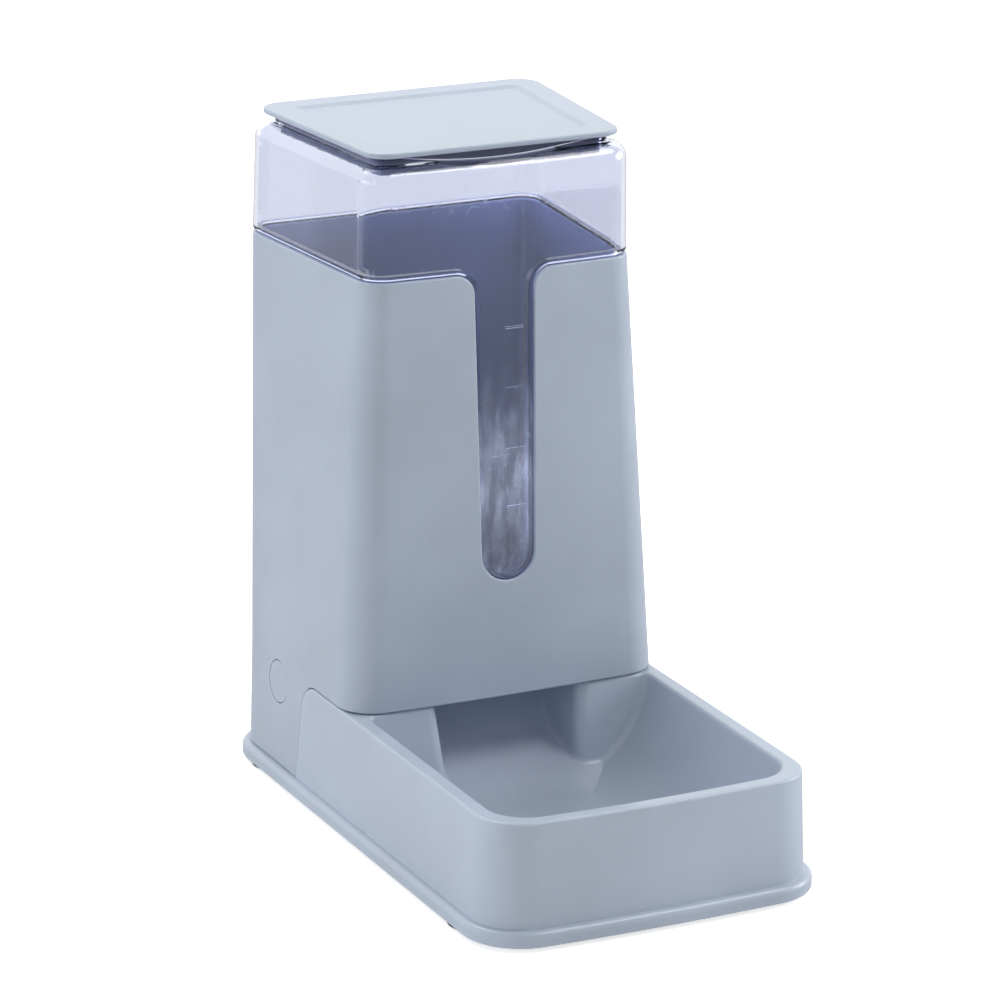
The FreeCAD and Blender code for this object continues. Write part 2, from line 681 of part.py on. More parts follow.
def finger_notch(grow=0.0):
    """A wide shallow dip in the front of the collar, below the lid's edge."""
    half = band_sizes()[0] - NOTCH_EDGE
    radius = (half ** 2 + NOTCH_DEPTH ** 2) / (2 * NOTCH_DEPTH)
    at = V(0, behind(0), COLLAR_Z - NOTCH_DEPTH + radius)
    end = band_sizes()[2] + COLLAR_INSET + COLLAR_SKIN
    return Part.makeCylinder(radius + grow, end - at.y, at, V(0, 1, 0))


def hopper():
    """Clear hopper with band, window rib, body, funnel and spout."""
    z0 = TOWER_TOP_Z + SEAM
    reach = rib_reach()
    block = hopper_block(0.0)
    skin = block.common(hopper_zone(z0, SEAM, reach))
    groove = edges_on(skin, block.Shells[0], lambda edge, middle: middle.z < z0 + SLACK)
    skin = skin.makeFillet(GROOVE_R, groove)
    collar = loft(collar_outline(HOPPER_TOP_Z - PAST, 0), collar_outline(COLLAR_Z, 0))
    outer = skin.fuse([hopper_body(0), collar])
    zone = hopper_zone(z0 + HOPPER_SKIN, SEAM + HOPPER_SKIN, reach + HOPPER_SKIN)
    room = hopper_block(HOPPER_SKIN).common(zone)
    room = room.cut(finger_notch(HOPPER_SKIN))
    below = HOPPER_TOP_Z - SHOULDER_R
    mouth = loft(collar_outline(below, COLLAR_SKIN), collar_outline(COLLAR_Z + PAST, COLLAR_SKIN))
    shape = outer.cut(room.fuse([hopper_body(HOPPER_SKIN), mouth])).cut(finger_notch())
    ticks = []
    for drop in TICK_DROPS:
        z = TOWER_TOP_Z - drop
        inside = tower_sizes(z)[2] - TOWER_BOW + HOPPER_SKIN
        low, high = z - TICK_SIZE / 2, z + TICK_SIZE / 2
        end = TICK_START + TICK_LENGTH
        ticks.append(box(TICK_START, end, inside - TICK_SINK, inside + TICK_SINK, low, high))
    return shape.fuse(ticks).removeSplitter()


def lid():
    """Lift-off lid: a plate with a shallow panel on top and a plug ring below."""
    half_front, half_back, front, back = band_sizes()[:4]
    half_front -= LID_IN_SIDE_FRONT
    half_back -= LID_IN_SIDE_BACK
    args = (half_front, half_back, front + LID_IN_FRONT, back - LID_IN_BACK, LID_R, LID_R, LID_BOW)
    plate = loft(outline(LID_Z0, *args), outline(LID_Z1, *args))
    edges = [e for e in plate.Edges if edge_at(e, z=LID_Z1) or edge_at(e, z=LID_Z0)]
    plate = plate.makeFillet(LID_EDGE_R, edges)
    low = inset_outline(LID_Z1 - PANEL_DEPTH, *args, PANEL_INSET + PANEL_SLOPE)
    high = inset_outline(LID_Z1 + PANEL_DEPTH, *args, PANEL_INSET - PANEL_SLOPE)
    plate = plate.cut(loft(low, high))
    gap = COLLAR_SKIN + PLUG_GAP
    foot = LID_Z0 - PLUG_DEPTH
    ring = loft(collar_outline(foot, gap), collar_outline(LID_Z0 + LID_THICKNESS / 4, gap))
    gap += PLUG_SKIN
    inside = loft(collar_outline(foot - PAST, gap), collar_outline(LID_Z0, gap))
    return plate.fuse(ring.cut(inside)).removeSplitter()


def left_latch():
    """Left release latch: pivot bead, arm and round button flush with the shell."""
    at = V(-PIVOT_X, BUTTON_Y - PIVOT_LENGTH / 2, PIVOT_Z)
    bead = Part.makeCylinder(PIVOT_R, PIVOT_LENGTH, at, V(0, 1, 0))
    y0, y1 = BUTTON_Y - ARM_WIDTH / 2, BUTTON_Y + ARM_WIDTH / 2
    arm = box(-ARM_OUT, -ARM_OUT + ARM_THICK, y0, y1, PIVOT_Z, RIM_Z - ARM_DROP)
    at = V(-FAR, BUTTON_Y, BUTTON_Z)
    knob = Part.makeCylinder(BUTTON_R, FAR - PIVOT_X, at, V(1, 0, 0))
    knob = knob.common(shell_solid(SKIRT_Z, TOWER_TOP_Z, BUTTON_FLUSH))
    return bead.fuse([arm, knob]).removeSplitter()


def foot(x, y):
    """A round rubber foot sunk into the underside of the flange."""
    pad = Part.makeCylinder(FOOT_R, FLANGE_Z0 + FOOT_SINK, V(x, y, 0))
    edges = [e for e in pad.Edges if edge_at(e, z=0) and len(e.Vertexes) == 1]
    return pad.makeFillet(FOOT_EDGE_R, edges)


def build():
    """All pieces by node name."""
    latch = left_latch()
    feet = [foot(x, y) for x, y in foot_places()]
    return {
        "bowl_base": bowl_base(),
        "tower_shell": tower_shell(),
        "hopper": hopper(),
        "lid": lid(),
        "left_latch": latch,
        "right_latch": mirror_x(latch),
        "foot_front_left": feet[0],
        "foot_front_right": feet[1],
        "foot_rear_left": feet[2],
        "foot_rear_right": feet[3],
    }


os.makedirs("parts", exist_ok=True)
for name, shape in build().items():
    print(name, shape.isValid(), len(shape.Solids), round(shape.Volume))
    shape.exportStep(os.path.join("parts", name + ".step"))
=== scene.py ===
"""Studio scene of a gravity food dispenser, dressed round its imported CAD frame.

Lengths are in metres in the frame of the CAD model: +Z up, the bowl in front towards -Y,
X across the width. The script adds the finishes, the stiffening ribs below the bowl's
floor, the studio and the camera. No CAD node is moved or reshaped.
"""
import logging
import math
from dataclasses import dataclass
from enum import Enum
from typing import Any, ClassVar

import bpy
from mathutils import Matrix, Vector


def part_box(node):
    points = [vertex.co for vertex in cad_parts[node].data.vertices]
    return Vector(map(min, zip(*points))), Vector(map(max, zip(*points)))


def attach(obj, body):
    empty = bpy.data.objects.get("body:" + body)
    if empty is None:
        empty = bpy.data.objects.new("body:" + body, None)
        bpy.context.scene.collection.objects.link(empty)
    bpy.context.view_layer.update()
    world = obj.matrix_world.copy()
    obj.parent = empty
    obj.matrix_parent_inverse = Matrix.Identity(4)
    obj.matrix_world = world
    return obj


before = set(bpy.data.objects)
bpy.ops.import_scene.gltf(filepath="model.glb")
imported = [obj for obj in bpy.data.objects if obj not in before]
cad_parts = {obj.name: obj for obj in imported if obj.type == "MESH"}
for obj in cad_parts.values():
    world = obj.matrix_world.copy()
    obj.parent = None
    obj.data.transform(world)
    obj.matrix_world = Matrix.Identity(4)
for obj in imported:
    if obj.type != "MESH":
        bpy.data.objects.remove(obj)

LOG = logging.getLogger("dispenser")
MM = 0.001
PLASTIC_IOR = 1.49
NOISE_SPREAD = (0.3, 0.7)   # most of a noise pattern lies between these values
Colour = tuple[float, float, float]
Span = tuple[float, float]
Socket = bpy.types.NodeSocket

# The base's tone is the body's made lighter, and the body's a little darker, as painted light and shade on
# the bowl and the shell.
BODY_TONE: Colour = (0.397, 0.461, 0.556)
BASE_LIT_TONE: Colour = (0.431, 0.499, 0.6)
LID_TONE: Colour = (0.378, 0.442, 0.542)
CLEAR_TINT: Colour = (0.83, 0.85, 0.95)


class Graph:
    """Adds nodes to one tree and wires them."""

    def __init__(self, tree: bpy.types.NodeTree) -> None:
        """Starts from an empty tree.

        Args:
            tree: The node tree of a material, a world or a group.
        """
        self.tree = tree
        tree.nodes.clear()

    def add(self, kind: str, inputs: dict | None = None, **settings: Any) -> bpy.types.Node:
        """Adds one node.

        Args:
            kind: The node's type, such as ShaderNodeMath.
            inputs: Values or output sockets for the node's input sockets.
            **settings: Attributes of the node.

        Returns:
            The new node.
        """
        node = self.tree.nodes.new(kind)
        for name, value in settings.items():
            setattr(node, name, value)
        for key, value in (inputs or {}).items():
            if isinstance(value, Socket):
                self.tree.links.new(value, node.inputs[key])
            else:
                node.inputs[key].default_value = value
        return node

    def maths(self, operation: str, first: Any, second: Any = 0.0) -> Socket:
        """The result of a sum on two values or sockets."""
        return self.add("ShaderNodeMath", {0: first, 1: second}, operation=operation).outputs[0]

    def remap(self, value: Any, low: float, high: float, to_low: float, to_high: float) -> Socket:
        """A value taken from one range to another, clamped and smooth.

        Args:
            value: The value's socket.
            low: Start of the range it comes from.
            high: End of that range.
            to_low: What low becomes.
            to_high: What high becomes.

        Returns:
            The socket of the new value.
        """
        inputs = {"Value": value, "From Min": low, "From Max": high, "To Min": to_low, "To Max": to_high}
        node = self.add("ShaderNodeMapRange", inputs, interpolation_type="SMOOTHSTEP")
        return node.outputs["Result"]

    def blend(self, share: Any, first: Any, second: Any) -> Socket:
        """A colour between two others.

        Args:
            share: How much of the second colour, from 0 to 1.
            first: Colour or socket at share 0.
            second: Colour or socket at share 1.

        Returns:
            The socket of the mixed colour.
        """
        node = self.add("ShaderNodeMix", data_type="RGBA")
        for socket, value in ((0, share), (6, first), (7, second)):
            if isinstance(value, Socket):
                self.tree.links.new(value, node.inputs[socket])
            elif socket == 0:
                node.inputs[0].default_value = value
            else:
                node.inputs[socket].default_value = (*value, 1.0)
        return node.outputs[2]

    def noise(self, vector: Any, scale: Any, detail: float = 2.0, rough: float = 0.5) -> Socket:
        """The grey value of a noise pattern.

        Args:
            vector: The coordinates' socket.
            scale: Bumps per metre, as a value or socket.
            detail: How many finer layers are added.
            rough: How strong the finer layers are.

        Returns:
            The socket of a value about 0.5.
        """
        inputs = {"Vector": vector, "Scale": scale, "Detail": detail, "Roughness": rough}
        return self.add("ShaderNodeTexNoise", inputs).outputs["Fac"]


class Effect(Enum):
    """Surface effects that several finishes share."""

    GRAIN = "moulded_grain"
    # An edge mask along which a highlight is painted.
    EDGES = "painted_edge_highlight"
    DUST = "settled_dust"
    HAIRLINES = "hairline_scratches"
    SMUDGE = "wiped_smudge"


class EffectLibrary:
    """Builds each shared effect once as a node group and places it in materials."""

    EDGE_RADIUS: ClassVar[float] = 2.2 * MM
    EDGE_SAMPLES: ClassVar[int] = 6
    EDGE_TURN: ClassVar[Span] = (0.004, 0.09)
    DUSTY_RISE: ClassVar[Span] = (0.25, 0.95)
    SPECK_FINENESS: ClassVar[float] = 45.0
    SPECK_STRENGTH: ClassVar[float] = 0.6
    SCRATCH_FINENESS: ClassVar[float] = 1.7
    SMUDGE_SPREAD: ClassVar[Span] = (0.44, 0.62)
    SOCKETS: ClassVar[dict[Effect, tuple[dict[str, float], tuple[str, ...]]]] = {
        Effect.GRAIN: ({"Scale": 2200.0, "Mottle Scale": 14.0}, ("Height", "Mottle")),
        Effect.EDGES: ({"Strength": 1.0, "Breakup Scale": 260.0}, ("Mask",)),
        Effect.DUST: ({"Scale": 55.0, "Amount": 0.5}, ("Mask",)),
        Effect.HAIRLINES: ({"Scale": 170.0, "Thinness": 0.016, "Share": 0.5}, ("Mask",)),
        Effect.SMUDGE: ({"Scale": 26.0, "Amount": 0.5}, ("Mask",)),
    }

    def __init__(self) -> None:
        """Starts with no group built."""
        self.groups: dict[Effect, bpy.types.NodeTree] = {}

    def place(self, graph: Graph, effect: Effect, vector: Any, **values: float) -> bpy.types.Node:
        """Puts an effect into a material.

        Args:
            graph: The material's graph.
            effect: Which effect.
            vector: The coordinates' socket.
            **values: The group's inputs by name, with _ for a space.

        Returns:
            The group node, with the effect's outputs.
        """
        if effect not in self.groups:
            self.groups[effect] = self.build(effect)
        inputs = {key.replace("_", " "): value for key, value in values.items()}
        node = graph.add("ShaderNodeGroup", node_tree=self.groups[effect])
        for key, value in inputs.items():
            node.inputs[key].default_value = value
        graph.tree.links.new(vector, node.inputs["Vector"])
        return node

    def build(self, effect: Effect) -> bpy.types.NodeTree:
        """Makes the group of one effect.

        Args:
            effect: Which effect.

        Returns:
            The finished group.
        """
        tree = bpy.data.node_groups.new(effect.value, "ShaderNodeTree")
        tree.interface.new_socket("Vector", in_out="INPUT", socket_type="NodeSocketVector")
        defaults, results = self.SOCKETS[effect]
        for name, value in defaults.items():
            socket = tree.interface.new_socket(name, in_out="INPUT", socket_type="NodeSocketFloat")
            socket.default_value = value
        for name in results:
            tree.interface.new_socket(name, in_out="OUTPUT", socket_type="NodeSocketFloat")
        graph = Graph(tree)
        given = graph.add("NodeGroupInput").outputs
        makers = {
            Effect.GRAIN: self.grain,
            Effect.EDGES: self.edges,
            Effect.DUST: self.dust,
            Effect.HAIRLINES: self.hairlines,
            Effect.SMUDGE: self.smudge,
        }
        graph.add("NodeGroupOutput", dict(zip(results, makers[effect](graph, given))))
        return tree

    def grain(self, graph: Graph, given: Any) -> tuple[Socket, ...]:
        """Fine satin grain of a blasted mould, and a slow drift of tone.

        Args:
            graph: The group's graph.
            given: The group's input sockets.

        Returns:
            The sockets for Height and Mottle.
        """
        fine = graph.noise(given["Vector"], given["Scale"], detail=3.0, rough=0.6)
        slow = graph.noise(given["Vector"], given["Mottle Scale"], detail=4.0, rough=0.55)
        return fine, slow

    def edges(self, graph: Graph, given: Any) -> tuple[Socket, ...]:
        """A mask along tight edges, broken up a little, where highlights are painted.

        Args:
            graph: The group's graph.
            given: The group's input sockets.

        Returns:
            The socket for Mask.
        """
        bevel = graph.add("ShaderNodeBevel", {"Radius": self.EDGE_RADIUS}, samples=self.EDGE_SAMPLES)
        soft = bevel.outputs[0]
        true = graph.add("ShaderNodeNewGeometry").outputs["Normal"]
        same = graph.add("ShaderNodeVectorMath", {0: soft, 1: true}, operation="DOT_PRODUCT")
        turned = graph.maths("SUBTRACT", 1.0, same.outputs["Value"])
        mask = graph.remap(turned, *self.EDGE_TURN, 0.0, 1.0)
        patchy = graph.noise(given["Vector"], given["Breakup Scale"], detail=3.0)
        patchy = graph.remap(patchy, 0.35, 0.65, 0.45, 1.0)
        mask = graph.maths("MULTIPLY", mask, patchy)
        return (graph.maths("MULTIPLY", mask, given["Strength"]),)

    def dust(self, graph: Graph, given: Any) -> tuple[Socket, ...]:
        """Thin dust on faces that look up, in soft patches with fine specks.

        Args:
            graph: The group's graph.
            given: The group's input sockets.

        Returns:
            The socket for Mask.
        """
        normal = graph.add("ShaderNodeNewGeometry").outputs["Normal"]
        up = graph.add("ShaderNodeSeparateXYZ", {0: normal}).outputs["Z"]
        up = graph.remap(up, *self.DUSTY_RISE, 0.0, 1.0)
        patches = graph.noise(given["Vector"], given["Scale"], detail=5.0, rough=0.65)
        patches = graph.remap(patches, 0.35, 0.75, 0.15, 1.0)
        finer = graph.maths("MULTIPLY", given["Scale"], self.SPECK_FINENESS)
        specks = graph.noise(given["Vector"], finer, detail=1.0)
        specks = graph.remap(specks, 0.68, 0.78, 0.0, 1.0)
        whole = graph.maths("ADD", patches, graph.maths("MULTIPLY", specks, self.SPECK_STRENGTH))
        return (graph.maths("MULTIPLY", graph.maths("MULTIPLY", up, whole), given["Amount"]),)

    def hairlines(self, graph: Graph, given: Any) -> tuple[Socket, ...]:
        """Short fine scratches in all directions.

        Args:
            graph: The group's graph.
            given: The group's input sockets.

        Returns:
            The socket for Mask.
        """
        cells = {"Vector": given["Vector"], "Scale": given["Scale"], "Randomness": 1.0}
        lines = graph.add("ShaderNodeTexVoronoi", cells, feature="DISTANCE_TO_EDGE").outputs["Distance"]
        thin = graph.add("ShaderNodeMapRange", {
            "Value": lines, "From Min": 0.0, "From Max": given["Thinness"]})
        thin = graph.maths("SUBTRACT", 1.0, thin.outputs["Result"])
        finer = graph.maths("MULTIPLY", given["Scale"], self.SCRATCH_FINENESS)
        pieces = graph.noise(given["Vector"], finer, detail=2.0)
        least = graph.maths("SUBTRACT", 0.8, graph.maths("MULTIPLY", given["Share"], 0.5))
        kept = graph.maths("GREATER_THAN", pieces, least)
        return (graph.maths("MULTIPLY", thin, kept),)

    def smudge(self, graph: Graph, given: Any) -> tuple[Socket, ...]:
        """Broad hazy patches, as from wiping.

        Args:
            graph: The group's graph.
            given: The group's input sockets.

        Returns:
            The socket for Mask.
        """
        haze = graph.noise(given["Vector"], given["Scale"], detail=5.0, rough=0.6)
        haze = graph.remap(haze, *self.SMUDGE_SPREAD, 0.0, 1.0)
        return (graph.maths("MULTIPLY", haze, given["Amount"]),)


def new_material(name: str) -> tuple[bpy.types.Material, Graph]:
    """A material with an empty node tree.

    Args:
        name: The material's name.

    Returns:
        The material and its graph.
    """
    material = bpy.data.materials.new(name)
    material.use_nodes = True
    return material, Graph(material.node_tree)


def object_place(graph: Graph) -> Socket:
    """Coordinates in the piece's own space, which is the CAD frame."""
    return graph.add("ShaderNodeTexCoord").outputs["Object"]


@dataclass(frozen=True)
class SatinPlastic:
    """Opaque injection-moulded plastic with a fine satin grain and tight edges painted lighter as a
    highlight.

    What lies lower than the given height, where one is given, is painted dark as shade.
    """

    name: str
    tone: Colour
    roughness: float = 0.33
    grain_scale: float = 2400.0
    grain_depth: float = 0.012 * MM
    mottle: float = 0.05
    dust: float = 0.05
    edge_highlight: float = 0.5
    coat: float = 0.25
    coat_roughness: float = 0.16
    highlight_gain: float = 1.25
    highlight_lift: float = 0.04
    highlight_gloss: float = 0.12
    dust_tone: Colour = (0.72, 0.74, 0.76)
    dust_dullness: float = 0.5
    roughness_drift: Span = (-0.03, 0.04)
    painted_shade_below: float | None = None
    painted_shade_edge: float = 0.4 * MM
    painted_shade_tone: Colour = (0.1, 0.115, 0.2)

    def build(self, effects: EffectLibrary) -> bpy.types.Material:
        """Makes the material.

        Args:
            effects: The shared effects.

        Returns:
            The finished material.
        """
        material, graph = new_material(self.name)
        place = object_place(graph)
        grain = effects.place(graph, Effect.GRAIN, place, Scale=self.grain_scale).outputs
        edges = effects.place(graph, Effect.EDGES, place, Strength=self.edge_highlight).outputs["Mask"]
        dust = effects.place(graph, Effect.DUST, place, Amount=self.dust).outputs["Mask"]
        # Tight edges are painted lighter as a highlight, and get a little glossier.
        pale = tuple(min(1.0, c * self.highlight_gain + self.highlight_lift) for c in self.tone)
        deep = tuple(c * (1.0 - self.mottle) for c in self.tone)
        light = tuple(c * (1.0 + self.mottle) for c in self.tone)
        colour = graph.blend(graph.remap(grain["Mottle"], *NOISE_SPREAD, 0.0, 1.0), deep, light)
        colour = graph.blend(edges, colour, pale)
        colour = graph.blend(dust, colour, self.dust_tone)
        # Painted shade: below the given height the colour turns dark, as shade under the lid's plate.
        if self.painted_shade_below is not None:
            height = graph.add("ShaderNodeSeparateXYZ", {0: place}).outputs["Z"]
            plug_shade = graph.remap(height, self.painted_shade_below - self.painted_shade_edge, self.painted_shade_below, 1.0, 0.0)
            colour = graph.blend(plug_shade, colour, self.painted_shade_tone)
        drift = [self.roughness + change for change in self.roughness_drift]
        rough = graph.remap(grain["Mottle"], *NOISE_SPREAD, *drift)
        rough = graph.maths("SUBTRACT", rough, graph.maths("MULTIPLY", edges, self.highlight_gloss))
        rough = graph.maths("ADD", rough, graph.maths("MULTIPLY", dust, self.dust_dullness))
        bump = graph.add("ShaderNodeBump", {"Height": grain["Height"], "Distance": self.grain_depth})
        shader = graph.add("ShaderNodeBsdfPrincipled", {
            "Base Color": colour, "Roughness": rough, "Normal": bump.outputs[0],
            "IOR": PLASTIC_IOR, "Coat Weight": self.coat, "Coat Roughness": self.coat_roughness})
        graph.add("ShaderNodeOutputMaterial", {"Surface": shader.outputs[0]})
        return material


@dataclass(frozen=True)
class ClearMasks:
    """Where the clear plastic is hazy, scratched, on the window rib or inside the shell."""

    axes: Any
    streaks: Socket
    haze: Socket
    lines: Socket
    window: Socket
    inside: Socket


@dataclass(frozen=True)
class ClearPlastic:
    """Glossy see-through plastic with a faint violet tint, tinted deeper inside the tower as painted shade.

    The deeper tints by height and the dark front of the collar are painted shade, and the veil is a painted
    glow; their values are given, and are no properties of one plastic. Heights and depths are those of the
    piece at rest.
    """

    name: str
    tint: Colour
    tower_top: float
    shoulder: float
    # The tints inside the tower, in the funnel and at the collar's front are painted shade.
    inside_shade_tint: Colour = (0.76, 0.8, 0.96)
    funnel_shade_tint: Colour = (0.5, 0.53, 0.7)
    funnel_heights: Span = (118.0 * MM, 136.0 * MM)
    collar_shade_tint: Colour = (0.22, 0.23, 0.45)
    collar_depth: float = 38.0 * MM
    # The tone below is the colour of a painted glow on the window.
    haze_glow_tone: Colour = (0.14, 0.155, 0.2)
    haze_heights: Span = (150.0 * MM, 210.0 * MM)
    haze_foot: Span = (130.0 * MM, 155.0 * MM)
    haze_depth: float = 23.0 * MM
    haze_scale: float = 60.0
    haze_amount: float = 0.6
    haze_least: float = 0.4
    haze_foot_share: float = 0.45
    haze_dullness: float = 0.05
    ragged_scale: float = 70.0
    ragged_reach: float = 60.0 * MM
    streak_stretch: tuple[float, float, float] = (3.0, 3.0, 0.8)
    # A painted glow on the walls inside the shell, away from the window.
    inside_wall_glow: float = 0.085
    roughness: float = 0.02
    scratches: float = 0.5
    scratch_veil: float = 0.8
    scratch_dullness: float = 0.25
    scratch_depth: float = 0.03 * MM
    scratches_off_window: float = 0.15
    wave_scale: float = 22.0
    wave_height: float = 0.1 * MM

    def build(self, effects: EffectLibrary) -> bpy.types.Material:
        """Makes the material.

        Args:
            effects: The shared effects.

        Returns:
            The finished material.
        """
        material, graph = new_material(self.name)
        place = object_place(graph)
        axes = graph.add("ShaderNodeSeparateXYZ", {0: place}).outputs
        streaks = graph.add("ShaderNodeVectorMath", {0: place, 1: self.streak_stretch}, operation="MULTIPLY")
        streaks = streaks.outputs[0]
        lines = effects.place(graph, Effect.HAIRLINES, place, Share=self.scratches).outputs["Mask"]
        smudge = effects.place(graph, Effect.SMUDGE, streaks, Scale=self.haze_scale, Amount=self.haze_amount)
        haze = smudge.outputs["Mask"]
        inside = graph.remap(axes["Z"], self.tower_top, self.tower_top + 4 * MM, 1.0, 0.0)
        window = graph.remap(axes["Y"], self.haze_depth - 3 * MM, self.haze_depth, 1.0, 0.0)
        lines = graph.maths("MULTIPLY", lines, graph.remap(window, 0.0, 1.0, self.scratches_off_window, 1.0))
        masks = ClearMasks(axes, streaks, haze, lines, window, inside)
        colour = self.colour(graph, masks)
        veil = self.veil(graph, masks)
        rough = graph.maths("ADD", graph.maths("MULTIPLY", haze, self.haze_dullness), self.roughness)
        rough = graph.maths("ADD", rough, graph.maths("MULTIPLY", lines, self.scratch_dullness))
        wave = graph.noise(place, self.wave_scale, detail=1.0)
        bump = graph.add("ShaderNodeBump", {"Height": wave, "Distance": self.wave_height, "Strength": 0.5})
        marks = graph.add("ShaderNodeBump", {
            "Height": lines, "Distance": self.scratch_depth, "Strength": 0.6,
            "Normal": bump.outputs[0]}, invert=True)
        # The emission is painted light: the veil's glow.
        glass = graph.add("ShaderNodeBsdfPrincipled", {
            "Base Color": colour, "Roughness": rough, "Normal": marks.outputs[0],
            "IOR": PLASTIC_IOR, "Transmission Weight": 1.0,
            "Emission Color": veil, "Emission Strength": 1.0})
        lamp = graph.add("ShaderNodeLightPath").outputs["Is Shadow Ray"]
        through = graph.add("ShaderNodeBsdfTransparent", {"Color": colour})
        shader = graph.add("ShaderNodeMixShader", {0: lamp, 1: glass.outputs[0], 2: through.outputs[0]})
        graph.add("ShaderNodeOutputMaterial", {"Surface": shader.outputs[0]})
        return material

    def colour(self, graph: Graph, masks: ClearMasks) -> Socket:
        """The tint at each height, deepened as painted shade inside the shell, in the funnel and at the
        collar's front.

        Args:
            graph: The material's graph.
            masks: The material's masks.

        Returns:
            The colour's socket.
        """
        # Painted shade: the tint deepens inside the shell, in the funnel and at the front of the collar.
        colour = graph.blend(masks.inside, self.tint, self.inside_shade_tint)
        funnel = graph.remap(masks.axes["Z"], *self.funnel_heights, 1.0, 0.0)
        colour = graph.blend(funnel, colour, self.funnel_shade_tint)
        collar = graph.remap(masks.axes["Z"], self.shoulder, self.shoulder + 1 * MM, 0.0, 1.0)
        front = graph.remap(masks.axes["Y"], self.collar_depth, self.collar_depth + 4 * MM, 1.0, 0.0)
        return graph.blend(graph.maths("MULTIPLY", collar, front), colour, self.collar_shade_tint)

    def veil(self, graph: Graph, masks: ClearMasks) -> Socket:
        """A faint painted glow that stands for the light which haze and scratches scatter, and painted light
        on the walls inside the shell away from the window.

        Args:
            graph: The material's graph.
            masks: The material's masks.

        Returns:
            The colour's socket.
        """
        height = masks.axes["Z"]
        ragged = graph.noise(masks.streaks, self.ragged_scale, detail=4.0)
        ragged = graph.maths("MULTIPLY", ragged, self.ragged_reach)
        # The painted glow keeps to a ragged band of heights on the window.
        glow_band = graph.maths("ADD", height, graph.maths("SUBTRACT", ragged, self.ragged_reach / 2))
        glow_band = graph.remap(glow_band, *self.haze_heights, 1.0, 0.0)
        foot = graph.remap(height, *self.haze_foot, self.haze_foot_share, 1.0)
        glow_band = graph.maths("MULTIPLY", masks.window, graph.maths("MULTIPLY", glow_band, foot))
        cloud = graph.maths("ADD", masks.haze, graph.maths("MULTIPLY", masks.lines, self.scratch_veil))
        cloud = graph.maths("MULTIPLY", graph.maths("ADD", cloud, self.haze_least), glow_band)
        # Painted light: a faint glow on the walls inside the shell, away from the window.
        walls = graph.remap(masks.window, 0.0, 1.0, self.inside_wall_glow, 0.0)
        walls = graph.maths("MULTIPLY", masks.inside, walls)
        return graph.blend(graph.maths("ADD", cloud, walls), (0.0, 0.0, 0.0), self.haze_glow_tone)


@dataclass(frozen=True)
class Rubber:
    """Dull black rubber with a coarse grain and edges painted paler as a highlight."""

    name: str
    tone: Colour = (0.007, 0.007, 0.008)
    edge_highlight_tone: Colour = (0.035, 0.035, 0.037)
    roughness: float = 0.75
    roughness_drift: Span = (-0.08, 0.1)
    grain_scale: float = 1500.0
    grain_depth: float = 0.05 * MM
    blotch_scale: float = 120.0
    blotch_gain: float = 3.0
    edge_highlight: float = 0.3

    def build(self, effects: EffectLibrary) -> bpy.types.Material:
        """Makes the material.

        Args:
            effects: The shared effects.

        Returns:
            The finished material.
        """
        material, graph = new_material(self.name)
        place = object_place(graph)
        grain = effects.place(
            graph, Effect.GRAIN, place, Scale=self.grain_scale, Mottle_Scale=self.blotch_scale).outputs
        edges = effects.place(graph, Effect.EDGES, place, Strength=self.edge_highlight).outputs["Mask"]
        blotched = tuple(c * self.blotch_gain for c in self.tone)
        colour = graph.blend(graph.maths("MULTIPLY", grain["Mottle"], 0.5), self.tone, blotched)
        # Edges are painted paler as a highlight.
        colour = graph.blend(edges, colour, self.edge_highlight_tone)
        drift = [self.roughness + change for change in self.roughness_drift]
        rough = graph.remap(grain["Mottle"], *NOISE_SPREAD, *drift)
        bump = graph.add("ShaderNodeBump", {"Height": grain["Height"], "Distance": self.grain_depth})
        shader = graph.add("ShaderNodeBsdfPrincipled", {
            "Base Color": colour, "Roughness": rough, "Normal": bump.outputs[0]})
        graph.add("ShaderNodeOutputMaterial", {"Surface": shader.outputs[0]})
        return material


def dress(node: str, material: bpy.types.Material) -> None:
    """Gives a CAD node a material in each of its slots.

    Args:
        node: The node's name.
        material: The material.
    """
    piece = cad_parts[node]
    for slot in piece.material_slots:
        slot.material = material
    LOG.info("dressed %s in %s", node, material.name)


@dataclass
class Base:
    """The moulded base with its bowl, and the rubber feet below it."""

    node: str = "bowl_base"
    feet: tuple[str, ...] = ("foot_front_left", "foot_front_right", "foot_rear_left", "foot_rear_right")

    def dress(self, plastic: bpy.types.Material, rubber: bpy.types.Material) -> None:
        """Gives the base and the feet their finishes.

        Args:
            plastic: The base's material.
            rubber: The feet's material.
        """
        dress(self.node, plastic)
        for foot in self.feet:
            dress(foot, rubber)


